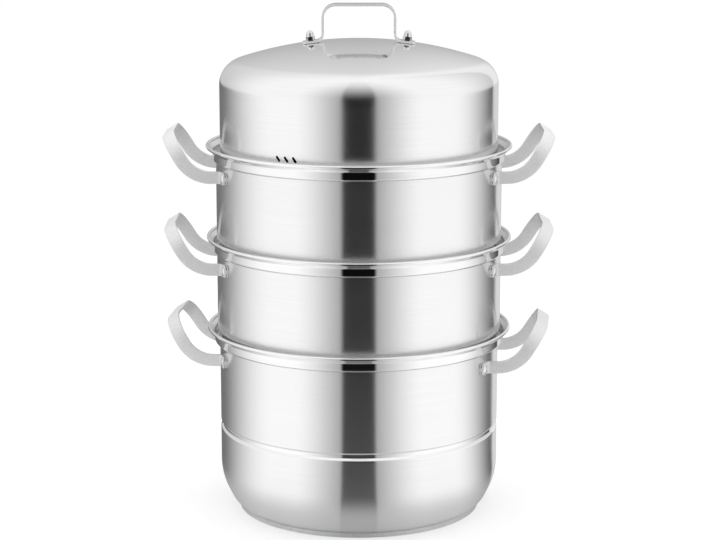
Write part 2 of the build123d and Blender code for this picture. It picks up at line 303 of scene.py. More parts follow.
def finish_mesh(name, mesh_data, materials, pick=None, sharp_deg=SHARP_DEG):
    """Object from a bmesh, in metres, smooth but for its sharp edges, with materials picked face by face."""
    bmesh.ops.remove_doubles(mesh_data, verts=mesh_data.verts, dist=MERGE_DISTANCE)
    bmesh.ops.dissolve_degenerate(mesh_data, edges=mesh_data.edges, dist=FLAT_DISTANCE)
    bmesh.ops.recalc_face_normals(mesh_data, faces=mesh_data.faces)
    for face in mesh_data.faces:
        face.smooth = True
        if pick:
            face.material_index = pick(face.calc_center_median())
    bmesh.ops.scale(mesh_data, vec=(MM, MM, MM), verts=mesh_data.verts)
    mesh = bpy.data.meshes.new(name)
    mesh_data.to_mesh(mesh)
    mesh_data.free()
    mesh.set_sharp_from_angle(angle=math.radians(sharp_deg))
    for material in materials:
        mesh.materials.append(material)
    return linked(bpy.data.objects.new(name, mesh))


def add_rings(mesh_data, rings):
    """Join closed rings of points, each ring to the next, with faces."""
    rows = [[mesh_data.verts.new(point) for point in ring] for ring in rings]
    count = len(rows[0])
    for row, following in zip(rows, rows[1:]):
        for index in range(count):
            after = (index + 1) % count
            mesh_data.faces.new((row[index], row[after], following[after], following[index]))
    return rows


def add_solid(mesh_data, rings):
    """Join rings of points and close both ends."""
    rows = add_rings(mesh_data, rings)
    mesh_data.faces.new(rows[0])
    mesh_data.faces.new(rows[-1])


def add_turned(mesh_data, profile, origin, axis):
    """Add a profile of radius and height turned about an axis through an origin."""
    helper = UP if abs(axis.z) < NEARLY_UPRIGHT else Vector((1, 0, 0))
    first = axis.cross(helper).normalized()
    second = axis.cross(first)
    rings = []
    for radius, height in profile:
        rings.append([origin + axis * height + (first * math.cos(turn) + second * math.sin(turn)) * radius
                      for turn in full_turn(TURNED_STEPS)])
    add_solid(mesh_data, rings)


def spun_piece(name, loops, lift, materials, pick=None):
    """Piece made of closed outlines of radius and height turned about the Z axis."""
    mesh_data = bmesh.new()
    for loop in loops:
        rings = []
        for turn in full_turn(SPIN_STEPS) + [0.0]:
            rings.append([(p.x * math.cos(turn), p.x * math.sin(turn), p.y + lift) for p in loop])
        add_rings(mesh_data, rings)
    return finish_mesh(name, mesh_data, materials, pick)


def place(piece, body, slot, *nodes):
    """Let a piece ride on a body and stand for CAD nodes; the finish's name it is given is not used."""
    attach(piece, body)
    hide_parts(*nodes)


# Materials

class Nodes:
    """Small helper to build a node tree."""

    def __init__(self, tree):
        self.tree = tree
        self.tree.nodes.clear()

    def add(self, kind, **settings):
        """New node with its settings, and its inputs given as values or as other nodes' outputs."""
        node = self.tree.nodes.new(kind)
        inputs = settings.pop("inputs", {})
        for key, value in settings.items():
            setattr(node, key, value)
        for key, value in inputs.items():
            if isinstance(value, bpy.types.NodeSocket):
                self.tree.links.new(value, node.inputs[key])
            else:
                node.inputs[key].default_value = value
        return node

    def math(self, operation, first, second=0.0, clamp=False):
        """Output of a math node."""
        inputs = {0: first, 1: second}
        return self.add("ShaderNodeMath", operation=operation, use_clamp=clamp, inputs=inputs).outputs[0]

    def ramp(self, value, low, high, out_low=0.0, out_high=1.0):
        """Smooth step of a value between two limits."""
        inputs = {"Value": value, "From Min": low, "From Max": high, "To Min": out_low, "To Max": out_high}
        node = self.add("ShaderNodeMapRange", interpolation_type="SMOOTHSTEP", inputs=inputs)
        return node.outputs["Result"]

    def mix(self, share, first, second):
        """First value, or the second by a share."""
        return self.add("ShaderNodeMix", inputs={0: share, 2: first, 3: second}).outputs[0]

    def position(self):
        """Position on the object as a vector, in metres."""
        return self.add("ShaderNodeTexCoord").outputs["Object"]

    def position_parts(self):
        """Position on the object as x, y and z."""
        node = self.add("ShaderNodeSeparateXYZ", inputs={0: self.position()})
        return [node.outputs[index] for index in range(3)]

    def length(self, x, y):
        """Length of a vector in plan."""
        return self.math("SQRT", self.math("ADD", self.math("MULTIPLY", x, x), self.math("MULTIPLY", y, y)))

    def surface(self, shader):
        """Let a shader be the material's surface."""
        self.add("ShaderNodeOutputMaterial", inputs={"Surface": shader.outputs[0]})


def new_material(name):
    """Empty node material."""
    material = bpy.data.materials.new(name)
    material.use_nodes = True
    return material, Nodes(material.node_tree)


def ring_coordinates(nodes, across, along):
    """Coordinates that change fast across rings round the Z axis and slowly along them."""
    x, y, z = nodes.position_parts()
    radius = nodes.length(x, y)
    first = nodes.math("ADD", nodes.math("MULTIPLY", radius, across), nodes.math("MULTIPLY", x, along))
    second = nodes.math("ADD", nodes.math("MULTIPLY", z, across), nodes.math("MULTIPLY", y, along))
    return nodes.add("ShaderNodeCombineXYZ", inputs={0: first, 1: second}).outputs[0]


def even_coordinates(nodes, scale):
    """Coordinates with one scale on all axes."""
    inputs = {"Vector": nodes.position(), "Scale": (scale, scale, scale)}
    return nodes.add("ShaderNodeMapping", inputs=inputs).outputs[0]


# Noise of the grain, its relief in metres, and the turn of the brushing, which runs round the vessels
NOISE_DETAIL = 3.0
NOISE_SPAN = (0.25, 0.75)
RELIEF = 2e-5
BRUSH_TURN = 0.25
WALL_GRAIN = (2600.0, 9.0)
COOL_TINT = 0.005


def grey(value):
    """Very slightly cool grey."""
    return value, value, value + COOL_TINT


def steel(name, color, roughness, grain, scale, anisotropy=0.0, bump=0.0, metal=1.0, heights=None):
    """Steel whose grain varies its colour by a share, its roughness by twice that, and its relief a little.

    The grain's scale is one number where it is even, or two where it runs in rings: across and along them.
    With two heights, in millimetres, the roughness goes from its first value at the lower one to its second.
    """
    material, nodes = new_material(name)
    vector = ring_coordinates(nodes, *scale) if isinstance(scale, tuple) else even_coordinates(nodes, scale)
    inputs = {"Vector": vector, "Scale": 1.0, "Detail": NOISE_DETAIL}
    fine = nodes.add("ShaderNodeTexNoise", inputs=inputs).outputs["Fac"]
    shade = nodes.ramp(fine, *NOISE_SPAN, 1.0 - grain, 1.0 + grain)
    tint = nodes.add("ShaderNodeVectorMath", operation="SCALE", inputs={0: color, "Scale": shade}).outputs[0]
    if heights:
        z = nodes.position_parts()[2]
        roughness = nodes.ramp(z, heights[0] * MM, heights[1] * MM, *roughness)
    spread = nodes.ramp(fine, *NOISE_SPAN, 1.0 - 2 * grain, 1.0 + 2 * grain)
    rough = nodes.math("MULTIPLY", spread, roughness)
    inputs = {"Base Color": tint, "Metallic": metal, "Roughness": rough}
    if bump:
        relief = nodes.add("ShaderNodeBump", inputs={"Height": fine, "Strength": bump, "Distance": RELIEF})
        inputs["Normal"] = relief.outputs[0]
    if anisotropy:
        inputs["Anisotropic"] = anisotropy
        inputs["Anisotropic Rotation"] = BRUSH_TURN
        tangent = nodes.add("ShaderNodeTangent", direction_type="RADIAL", axis="Z")
        inputs["Tangent"] = tangent.outputs[0]
    nodes.surface(nodes.add("ShaderNodeBsdfPrincipled", inputs=inputs))
    return material


# Walls: fine brushing round the vessel
BRUSHED = steel("brushed_steel", grey(0.90), roughness=0.21, grain=0.03, scale=WALL_GRAIN, anisotropy=1.0,
                bump=0.04)

# Rims and the groove: nearly a mirror
POLISHED = steel("polished_steel", grey(0.92), roughness=0.04, grain=0.03, scale=(700.0, 5.0), anisotropy=0.4)

# Inside of the vessels: satin, in a darker grey that is painted shade of the insides and of the gap within
# the rim
SHADED_INNER = steel("shaded_inner_steel", grey(0.70), roughness=0.24, grain=0.05, scale=(900.0, 5.0), anisotropy=0.6)

# Lid: brushed like the walls, and smoother from the shoulder to the dome, which mirrors the handle
SHOULDER_HEIGHTS = (LID_LOW[2] + LID_WALL_H - LID_SHOULDER_R / 2, LID_HIGH[2] - LID_SHOULDER_R / 2)
LID_STEEL = steel("lid_steel", grey(0.92), roughness=(0.21, 0.06), grain=0.03, scale=WALL_GRAIN,
                  anisotropy=0.8, heights=SHOULDER_HEIGHTS)

# Side handles: an even satin finish, with smoother cut edges whose darker grey is painted shade on the narrow
# sides
SATIN = steel("satin_steel", grey(0.93), roughness=0.5, grain=0.04, scale=500.0, bump=0.05, metal=0.3)
SHADED_EDGE = steel("shaded_edge_steel", grey(0.42), roughness=0.3, grain=0.04, scale=400.0)

# Rivets, nuts and the lid's handle
BRIGHT = steel("bright_steel", grey(0.82), roughness=0.16, grain=0.04, scale=300.0)

# Core of the base
ALUMINIUM = steel("core_aluminium", (0.80, 0.81, 0.82), roughness=0.45, grain=0.06, scale=400.0)

# Materials of a vessel's shell, and their places in the list
SHELL_MATERIALS = [BRUSHED, POLISHED, SHADED_INNER, SATIN]
WALL, MIRROR, SHADED_INSIDE, UNDERSIDE = range(4)


# Vessels

def vessel_loops(points, radii, wall_r, rim_z):
    """Outlines of a vessel's sheet, with the stepped rim added to its lower points, and of its bead."""
    wall = wall_r - HALF
    collar = COLLAR_R - HALF
    shelf = rim_z - COLLAR_H + HALF
    bead = (RIM_R - BEAD_R, rim_z - BEAD_R)
    rim = [(wall, shelf), (collar, shelf), (collar, rim_z - FLARE_H), bead]
    sheet = sheet_loop(rounded_line(points + rim, radii + [CREASE_R, SHELF_R, FLARE_R]))
    return [sheet, circle_loop(bead, BEAD_R)]


def rim_pick(radius, below):
    """Finish of the stepped rim at a depth below its top; its inner side takes the darker inside steel,
    painted shade of the gap.
    """
    slope = (RIM_R - BEAD_R - COLLAR_R + HALF) / (FLARE_H - BEAD_R)
    middle = COLLAR_R - HALF + max(FLARE_H - below, 0.0) * slope
    if radius < min(middle, BEAD_INNER_R):
        return SHADED_INSIDE
    return UNDERSIDE if below > SHELF_BOTTOM else MIRROR


def shell_pick(wall_r, rim_z):
    """Finish by place: polished rim and groove, satin inside in a darker grey as painted shade, and brushed
    outside.
    """
    def pick(spot):
        radius = math.hypot(spot.x, spot.y)
        below = rim_z - spot.z
        if below < COLLAR_H + HALF and radius > wall_r:
            return rim_pick(radius, below)
        if wall_r == POT_WALL_R and abs(GROOVE_MIDDLE_Z - spot.z) < GROOVE_H:
            return MIRROR if radius > GROOVE_INNER_R else SHADED_INSIDE
        return SHADED_INSIDE if radius < wall_r - HALF and spot.z > INSIDE_FROM_Z else WALL
    return pick


def pot_loops():
    """Outlines of the pot."""
    wall = POT_WALL_R - HALF
    ledge = LEDGE_Z - HALF - GROOVE_DROP
    lower = ledge + HALF - GROOVE_H
    foot_r = wall - CORNER_SLANT_H * math.tan(math.radians(CORNER_SLANT_DEG))
    points = [
        (0, FLOOR_Z),
        (foot_r, FLOOR_Z),
        (wall, FLOOR_Z + CORNER_SLANT_H),
        (wall, lower - (wall - NECK_R)),
        (NECK_R, lower),
        (NECK_R, ledge - GROOVE_LIP_H),
        (wall - GROOVE_LIP, ledge - GROOVE_LIP_H),
        (wall, ledge),
    ]
    radii = [CORNER_LOWER_R, CORNER_UPPER_R, GROOVE_LOWER_R, GROOVE_BOTTOM_R]
    radii += [GROOVE_LIP_R, GROOVE_LIP_R, GROOVE_UPPER_R]
    return vessel_loops(points, radii, POT_WALL_R, POT_H)


def tier_loops():
    """Outlines of a tier, from its own base."""
    wall = TIER_WALL_R - HALF
    points = [
        (FLANGE_R, HALF),
        (NECK_R, HALF),
        (NECK_R, FOOT_NECK_H),
        (wall - FOOT_SHOULDER, FOOT_NECK_H),
        (wall, FOOT_NECK_H + FOOT_SHOULDER),
    ]
    radii = [FLANGE_BEND_R, FOOT_NECK_BEND_R, FOOT_NECK_BEND_R, FOOT_BEND_R]
    return vessel_loops(points, radii, TIER_WALL_R, TIER_H)


def make_vessels():
    """Pot, its base and the two tiers."""
    pot = spun_piece("pot_body", pot_loops(), 0, SHELL_MATERIALS, shell_pick(POT_WALL_R, POT_H))
    place(pot, "bottom_pot", "shell_steel", "pot_shell")
    edge = [(0, 0), (CAP_R, 0), (CAP_R, CAP_TOP), (CAP_R - CAP_TOP_W, CAP_TOP)]
    skin = rounded_line(edge, [CAP_EDGE_R, CAP_TOP_R])
    cap = spun_piece("base_skin", [skin + [Vector((0, FLOOR_Z - HALF))]], 0, [BRUSHED])
    place(cap, "bottom_pot", "base_steel", "pot_base_cap")
    for level in ("lower", "upper"):
        low, high = size_of(f"{level}_tier_shell")
        tier = spun_piece(f"{level}_tier_body", tier_loops(), low[2], SHELL_MATERIALS,
                          shell_pick(TIER_WALL_R, high[2]))
        place(tier, f"{level}_tier", "shell_steel", f"{level}_tier_shell")


# Lid

def dome_line():
    """Middle of the lid's sheet from its flange to the top of the dome, and the radius of the dome."""
    wall = LID_WALL_R - HALF
    side = wall - LID_SHOULDER_R
    rise = LID_H - HALF - LID_WALL_H
    radius = (side**2 + rise**2 - LID_SHOULDER_R**2) / (2 * (rise - LID_SHOULDER_R))
    slope = math.asin(side / (radius - LID_SHOULDER_R))
    line = rounded_line([(FLANGE_R, HALF), (wall, HALF), (wall, SLOT_L)], [FLANGE_BEND_R])
    rows = math.ceil((LID_WALL_H - SLOT_L) / WALL_ROW)
    line += [Vector((wall, SLOT_L + (LID_WALL_H - SLOT_L) * row / rows)) for row in range(1, rows + 1)]
    line += arc_points(Vector((side, LID_WALL_H)), LID_SHOULDER_R, 0, math.pi / 2 - slope)[1:]
    centre = Vector((0, LID_H - HALF - radius))
    for step in range(1, DOME_STEPS + 1):
        turn = slope * (1 - step / DOME_STEPS)
        line.append(centre + radius * Vector((math.sin(turn), math.cos(turn))))
    return line, radius


def lid_pick(spot):
    """Place in the lid's materials: 0 outside and on the dome, 1 inside the wall."""
    radius = math.hypot(spot.x, spot.y)
    height = spot.z - LID_LOW[2]
    return 1 if height < LID_WALL_H and radius < LID_WALL_R - HALF else 0


def slot_cutter(index):
    """Round-ended prism that cuts one steam slot."""
    azimuth = math.radians(SLOT_AZIMUTH_DEG + (index - (SLOT_COUNT - 1) / 2) * SLOT_PITCH_DEG)
    outward = direction(azimuth).to_3d()
    across = Vector((-math.sin(azimuth), math.cos(azimuth), 0))
    lean = math.radians(90 + SLOT_LEAN_DEG)
    along = across * math.cos(lean) + UP * math.sin(lean)
    side = outward.cross(along)
    centre = outward * LID_WALL_R + UP * (LID_LOW[2] + SLOT_Z)
    straight = (SLOT_L - SLOT_W) / 2
    outline = []
    for end in (1, -1):
        for step in range(SLOT_END_STEPS + 1):
            turn = math.pi * step / SLOT_END_STEPS
            reach = straight + SLOT_W / 2 * math.sin(turn)
            outline.append((along * reach + side * (SLOT_W / 2 * math.cos(turn))) * end)
    mesh_data = bmesh.new()
    rings = [[centre + point + outward * depth for point in outline] for depth in (-SLOT_L, SLOT_L)]
    add_solid(mesh_data, rings)
    return finish_mesh(f"slot_cutter_{index}", mesh_data, [])


def cut_slots(lid):
    """Cut the steam slots through the lid's wall, with the modifier applied."""
    for index in range(SLOT_COUNT):
        cutter = slot_cutter(index)
        cut = lid.modifiers.new("slot", "BOOLEAN")
        cut.operation = "DIFFERENCE"
        cut.solver = "EXACT"
        cut.object = cutter
        bpy.context.view_layer.update()
        graph = bpy.context.evaluated_depsgraph_get()
        mesh = bpy.data.meshes.new_from_object(lid.evaluated_get(graph))
        mesh.set_sharp_from_angle(angle=math.radians(SHARP_DEG))
        lid.modifiers.clear()
        lid.data = mesh
        bpy.data.objects.remove(cutter)


def make_lid():
    """Lid's sheet with its steam slots."""
    line, _ = dome_line()
    lid = spun_piece("lid_body", [sheet_loop(line)], LID_LOW[2], [LID_STEEL, SHADED_INNER], lid_pick)
    cut_slots(lid)
    place(lid, "lid", "shell_steel", "lid_shell")


# Steam plates

def add_circle(curve, centre, radius):
    """Add a circle to a flat curve."""
    spline = curve.splines.new("BEZIER")
    spline.bezier_points.add(3)
    spline.use_cyclic_u = True
    for turn, point in zip(full_turn(4), spline.bezier_points):
        spot = centre + direction(turn).to_3d() * radius
        handle = Vector((-math.sin(turn), math.cos(turn), 0)) * radius * CIRCLE_HANDLE
        point.co = spot * MM
        point.handle_left = (spot - handle) * MM
        point.handle_right = (spot + handle) * MM


def plate_disc(name, lift):
    """Flat perforated disc as a filled curve with holes."""
    inset = HALF * PLATE_ROUNDING
    curve = bpy.data.curves.new(name, "CURVE")
    curve.dimensions = "2D"
    curve.fill_mode = "BOTH"
    curve.extrude = (HALF - inset) * MM
    curve.bevel_depth = inset * MM
    curve.resolution_u = PLATE_STEPS
    centre = Vector((0, 0, 0))
    add_circle(curve, centre, PLATE_R - inset)
    add_circle(curve, centre, PLATE_HOLE_R + inset)
    for ring in range(1, PLATE_RINGS + 1):
        for turn in full_turn(ring * PLATE_RING_STEP):
            add_circle(curve, direction(turn).to_3d() * ring * PLATE_RING_PITCH, PLATE_HOLE_R + inset)
    piece = linked(bpy.data.objects.new(name, curve))
    piece.location.z = (lift + HALF) * MM
    return piece


def make_plates():
    """Steam plates, each a perforated disc with a turned-up edge."""
    for level in ("pot", "lower", "upper"):
        node = f"{level}_steam_plate"
        low, _ = size_of(node)
        disc = plate_disc(f"{level}_plate_disc", low[2])
        disc.data.materials.append(SHADED_INNER)
        wall = PLATE_R - HALF
        edge = rounded_line([(wall - SHEET, HALF), (wall, HALF), (wall, PLATE_EDGE_H)], [HALF])
        rim = spun_piece(f"{level}_plate_edge", [sheet_loop(edge)], low[2], [SHADED_INNER])
        for piece in (disc, rim):
            place(piece, f"{node}_body", "plate_steel", node)


# Straps

def strap_section(width, thick, edge_r):
    """Rounded rectangle as offsets across the width and the thickness."""
    section = []
    for corner, (side_w, side_t) in enumerate(((1, 1), (-1, 1), (-1, -1), (1, -1))):
        for step in range(STRAP_CORNER_STEPS + 1):
            turn = math.pi / 2 * (corner + step / STRAP_CORNER_STEPS)
            section.append((side_w * (width / 2 - edge_r) + edge_r * math.cos(turn),
                            side_t * (thick / 2 - edge_r) + edge_r * math.sin(turn)))
    return section


def strap_piece(name, stations, width, thick, edge_r, end_r, materials):
    """Sweep a flat strap through stations of spot, travel and width direction, with rounded end corners.

    A width direction longer than 1 widens the strap there. The second material is for the narrow sides.
    """
    section = strap_section(width, thick, edge_r)
    lengths = [0.0]
    for first, second in zip(stations, stations[1:]):
        lengths.append(lengths[-1] + (second[0] - first[0]).length)
    rings = []
    for (spot, travel, across), length in zip(stations, lengths):
        through = across.cross(travel).normalized()
        to_end = min(length, lengths[-1] - length)
        narrow = 0.0
        if to_end < end_r:
            narrow = end_r - math.sqrt(max(end_r**2 - (end_r - to_end) ** 2, 0.0))
        ratio = (width / 2 - narrow) / (width / 2)
        rings.append([spot + across * w * ratio + through * t for w, t in section])
    mesh_data = bmesh.new()
    add_solid(mesh_data, rings)
    half_round = len(section) // 2
    for index, face in enumerate(mesh_data.faces):
        face.material_index = 1 if index % half_round == half_round - 1 else 0
    return finish_mesh(name, mesh_data, materials, sharp_deg=STRAP_SHARP_DEG)


def leg_spot(wall_r, angle):
    """Middle of a leg at an angle along its rise."""
    to_grip = RISE_R * (math.radians(RISE_DEG) - angle) + GRIP_RUN - STRAP_T / 2
    side = (GRIP_W - STRAP_T) / 2 + LEG_SPLAY * to_grip
    return Vector((wall_r + RISE_START + RISE_R * math.sin(angle), side, RISE_R * (1 - math.cos(angle))))


def root_bend(wall_r):
    """Start of the leg, centre of the bend into the tab and the direction towards the wall, in plan."""
    start = leg_spot(wall_r, 0).to_2d()
    inward = Vector((-1, LEG_SPLAY)).normalized()
    sideways = Vector((LEG_SPLAY, 1)).normalized()
    middle = start + sideways * ROOT_BEND_R
    reach = wall_r + STRAP_T / 2 + ROOT_BEND_R
    along = middle.dot(inward)
    travel = -along - math.sqrt(along**2 - middle.dot(middle) + reach**2)
    return start, middle + inward * travel, inward


def tab_angles(wall_r):
    """Angles round the wall of the tab's start, its rivet and its tip, in radians."""
    _, centre, _ = root_bend(wall_r)
    start = math.atan2(centre.y, centre.x)
    radius = wall_r + STRAP_T / 2
    tip = start + TAB_L / radius
    return start, tip - RIVET_INSET / radius, tip


def tab_stations(wall_r):
    """Stations from the tip of the left tab to the start of the leg, with the strap standing on edge."""
    start, centre, inward = root_bend(wall_r)
    tab_start, _, tip = tab_angles(wall_r)
    radius = wall_r + STRAP_T / 2
    line = []
    for step in range(TAB_STEPS):
        turn = tip + (tab_start - tip) * (step / TAB_STEPS) ** TAB_CROWDING
        line.append(radius * direction(turn))
    from_wall = math.atan2(-centre.y, -centre.x)
    to_leg = math.atan2(-inward.x, inward.y) - math.pi
    line += arc_points(centre, ROOT_BEND_R, from_wall, to_leg) + [start]
    return [(line[index].to_3d(), step_at(line, index).to_3d().normalized(), UP)
            for index in range(len(line) - 1)]


def handle_half(wall_r):
    """Stations from the tip of the left tab to the middle of the bar."""
    stations = tab_stations(wall_r)
    widening = BAR_W / STRAP_W
    for step in range(RISE_STEPS + 1):
        angle = math.radians(RISE_DEG) * step / RISE_STEPS
        travel = Vector((math.cos(angle), -LEG_SPLAY, math.sin(angle))).normalized()
        across = Vector((-math.sin(angle), 0, math.cos(angle))) * (1 + (widening - 1) * step / RISE_STEPS)
        stations.append((leg_spot(wall_r, angle), travel, across))
    angle = math.radians(RISE_DEG)
    origin = leg_spot(wall_r, angle)
    out = Vector((math.cos(angle), 0, math.sin(angle)))
    across = Vector((-math.sin(angle), 0, math.cos(angle))) * widening
    bar = GRIP_RUN - STRAP_T / 2
    bar_side = (GRIP_W - STRAP_T) / 2
    corner = rounded_line([(0, origin.y), (bar, bar_side), (bar, 0)], [GRIP_CORNER_R - STRAP_T / 2])
    base = Vector((origin.x, 0, origin.z))
    for index in range(1, len(corner)):
        step = step_at(corner, index)
        travel = (out * step.x + Vector((0, step.y, 0))).normalized()
        stations.append((base + out * corner[index].x + Vector((0, corner[index].y, 0)), travel, across))
    return stations


def mirrored(stations):
    """Stations of the other half, in reverse order, across the XZ plane."""
    other = []
    for spot, travel, across in reversed(stations[:-1]):
        other.append((Vector((spot.x, -spot.y, spot.z)), Vector((-travel.x, travel.y, -travel.z)), across))
    return other


def turned(vector, turn):
    """Vector turned about the Z axis."""
    cos, sin = math.cos(turn), math.sin(turn)
    return Vector((vector.x * cos - vector.y * sin, vector.x * sin + vector.y * cos, vector.z))


def make_handle(name, wall_r, height, turn_deg, body, node):
    """One side handle at its place."""
    half = handle_half(wall_r)
    turn = math.radians(turn_deg)
    stations = [(turned(spot, turn) + UP * height, turned(travel, turn), turned(across, turn))
                for spot, travel, across in half + mirrored(half)]
    handle = strap_piece(name, stations, STRAP_W, STRAP_T, STRAP_EDGE_R, TAB_CORNER_R, [SATIN, SHADED_EDGE])
    place(handle, body, "handle_steel", node)


def rivet_head_profile():
    """Domed head with a short upright lip, above the tab."""
    rise = RIVET_HEAD_H - RIVET_LIP
    sphere_r = (RIVET_HEAD_R**2 + rise**2) / (2 * rise)
    reach = math.asin(RIVET_HEAD_R / sphere_r)
    profile = [(RIVET_HEAD_R, STRAP_T - RIVET_LIP / 2), (RIVET_HEAD_R, STRAP_T + RIVET_LIP)]
    for step in range(1, RIVET_STEPS + 1):
        turn = reach * (1 - step / RIVET_STEPS)
        height = STRAP_T + RIVET_HEAD_H - sphere_r * (1 - math.cos(turn))
        profile.append((max(sphere_r * math.sin(turn), POLE_R), height))
    return profile


def make_rivets(name, wall_r, height, turn_deg, body, node):
    """The four rivets of one vessel, with heads outside and tails inside."""
    _, azimuth, _ = tab_angles(wall_r)
    mesh_data = bmesh.new()
    tail = [
        (RIVET_TAIL_R, -SHEET),
        (RIVET_TAIL_R, -SHEET - RIVET_TAIL_EDGE_H),
        (RIVET_TAIL_TIP_R, -SHEET - RIVET_TAIL_H),
    ]
    for half_turn in (0, math.pi):
        for sign in (1, -1):
            axis = direction(half_turn + sign * azimuth + math.radians(turn_deg)).to_3d()
            origin = axis * wall_r + UP * height
            add_turned(mesh_data, rivet_head_profile(), origin, axis)
            add_turned(mesh_data, tail, origin, axis)
    rivets = finish_mesh(name, mesh_data, [BRIGHT])
    place(rivets, body, "fastener_steel", node)


def make_side_handles():
    """Handles and rivets of the pot and the tiers."""
    sets = [("pot", POT_WALL_R, POT_H - POT_HANDLE_DROP, POT_HANDLE_TURN_DEG, "bottom_pot",
             "pot_handle", "pot_handle_rivets")]
    for level in ("lower", "upper"):
        _, high = size_of(f"{level}_tier_shell")
        sets.append((level, TIER_WALL_R, high[2] - TIER_HANDLE_DROP, 0.0, f"{level}_tier",
                     f"{level}_tier_handle", f"{level}_tier_rivets"))
    for label, wall_r, height, turn, body, handle, rivets in sets:
        make_handle(f"{label}_grip_right", wall_r, height, turn, body, f"{handle}_right")
        make_handle(f"{label}_grip_left", wall_r, height, turn + 180, body, f"{handle}_left")
        make_rivets(f"{label}_rivet_set", wall_r, height, turn, body, rivets)


# Lid handle

def bail_foot():
    """Spot on the dome under the right screw, and the dome's direction there."""
    _, radius = dome_line()
    outer = radius + HALF
    rise = math.sqrt(outer**2 - BAIL_SCREW_X**2)
    spot = Vector((BAIL_SCREW_X, 0, LID_HIGH[2] - outer + rise))
    return spot, Vector((BAIL_SCREW_X / outer, 0, rise / outer))


def bail_line():
    """Middle of the lid's handle in X and Z, with close points along the toes for their round corners."""
    spot, normal = bail_foot()
    middle = spot + normal * (BAIL_T / 2)
    slope = normal.x / normal.z
    leg_x = (BAIL_SPAN - BAIL_T) / 2
    toe_x = BAIL_SCREW_X + BAIL_TOE
    toe = (toe_x, middle.z - slope * (toe_x - middle.x))
    knee = (leg_x, middle.z + slope * (middle.x - leg_x))
    top = (leg_x, BAIL_HIGH[2] - BAIL_T / 2)
    right = [toe, knee, top]
    left = [(-x, z) for x, z in reversed(right)]
    line = rounded_line(right + left, [BAIL_FOOT_BEND_R, BAIL_CORNER_R, BAIL_CORNER_R, BAIL_FOOT_BEND_R])
    shares = [TOE_SHARE * step / TOE_STEPS for step in range(TOE_STEPS)]
    first_toe = [line[0].lerp(line[1], share) for share in shares]
    last_toe = [line[-1].lerp(line[-2], share) for share in reversed(shares)]
    return first_toe + line[1:-1] + last_toe


def make_bail():
    """Bent strap of the lid."""
    line = bail_line()
    stations = []
    for index, point in enumerate(line):
        step = step_at(line, index)
        travel = Vector((step.x, 0, step.y)).normalized()
        stations.append((Vector((point.x, 0, point.y)), travel, Vector((0, 1, 0))))
    bail = strap_piece("lid_bail", stations, BAIL_W, BAIL_T, BAIL_EDGE_R, BAIL_TOE_CORNER_R, [BRIGHT, SATIN])
    place(bail, "lid", "handle_steel", "lid_handle")


def hex_radius(turn):
    """Distance from the axis to the side of the hexagon."""
    part = (turn + math.pi / 6) % (math.pi / 3) - math.pi / 6
    return NUT_FLATS / 2 / math.cos(part)


def nut_rings(origin, axis):
    """Rings of a nut's hexagon: its foot, its shoulder with the turned chamfer, and its top."""
    first = Vector((0, 1, 0))
    second = axis.cross(first)
    rings = [[], [], []]
    for turn in full_turn(NUT_STEPS):
        side = hex_radius(turn)
        drop = max(side - NUT_CHAMFER_R, 0.0) * math.tan(math.radians(NUT_CHAMFER_DEG))
        out = first * math.cos(turn) + second * math.sin(turn)
        rings[0].append(origin + out * side)
        rings[1].append(origin + out * side + axis * (NUT_HEX_H - drop))
        rings[2].append(origin + out * NUT_CHAMFER_R + axis * NUT_HEX_H)
    return rings


def make_nuts():
    """Cap nuts: a hexagon and a dome."""
    dome_z = NUT_H - NUT_DOME_R
    dome = [(NUT_DOME_R, NUT_HEX_H - SHEET), (NUT_DOME_R, dome_z)]
    for step in range(1, NUT_DOME_STEPS + 1):
        turn = math.pi / 2 * step / NUT_DOME_STEPS
        dome.append((max(NUT_DOME_R * math.cos(turn), POLE_R), dome_z + NUT_DOME_R * math.sin(turn)))
    mesh_data = bmesh.new()
    spot, normal = bail_foot()
    for side in (1, -1):
        axis = Vector((normal.x * side, 0, normal.z))
        origin = Vector((spot.x * side, 0, spot.z)) + axis * BAIL_T
        add_solid(mesh_data, nut_rings(origin, axis))
        add_turned(mesh_data, dome, origin, axis)
    nuts = finish_mesh("lid_cap_nuts", mesh_data, [BRIGHT])
    place(nuts, "lid", "fastener_steel", "lid_handle_nuts")


def dress_cad_nodes():
    """Materials of the CAD nodes that stay as they are."""
    finishes = {
        "pot_base_core": ALUMINIUM,
        "lid_handle_screws": BRIGHT,
        "lid_handle_washers": BRIGHT,
    }
    for node, material in finishes.items():
        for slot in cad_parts[node].material_slots:
            slot.material = material


# Stage

def make_camera():
    """Camera at the photograph's place."""
    data = bpy.data.cameras.new("camera")
    data.sensor_width = SENSOR_MM
    data.lens = FOCAL_PX / IMAGE_W * SENSOR_MM
    data.shift_x = (IMAGE_W / 2 - CENTRE_PX) / IMAGE_W
    camera = linked(bpy.data.objects.new("camera", data))
    camera.location = (0, CAMERA_Y * MM, CAMERA_Z * MM)
    camera.rotation_euler = (math.radians(90 - CAMERA_PITCH_DEG), 0, 0)
    bpy.context.scene.camera = camera


# Studio: a white room, with grey nets between it and the steel that dim the white by azimuth. The nets stand
# only in the way of what the steel mirrors. Azimuths are in degrees from the front, positive to the right,
# levels are shares of the white, and distances from the axis are in metres.

# Dark gap between the two white panels in front
GAP_LEFT = -13.4
GAP_RIGHT = 13.1
GAP_SOFT = 1.7
GAP_LEVEL = 0.004
GAP_GLOW = 0.07
GAP_NEAR = 0.25
GAP_FAR = 0.8

# Heights in degrees between which the net thins out, and the panels' swell from the gap to their full white
SKY_START_DEG = -8.0
SKY_END_DEG = 95.0
SWELL_FROM = 0.29
SWELL_DEG = 55.0

# Fades of the panels towards the back: azimuth of start and end, and the level that is left
BACK_RIGHT = (82.0, 150.0, 0.03)
BACK_LEFT = (73.0, 153.0, 0.15)
BACK_SKY = (84.0, 150.0, 0.6)

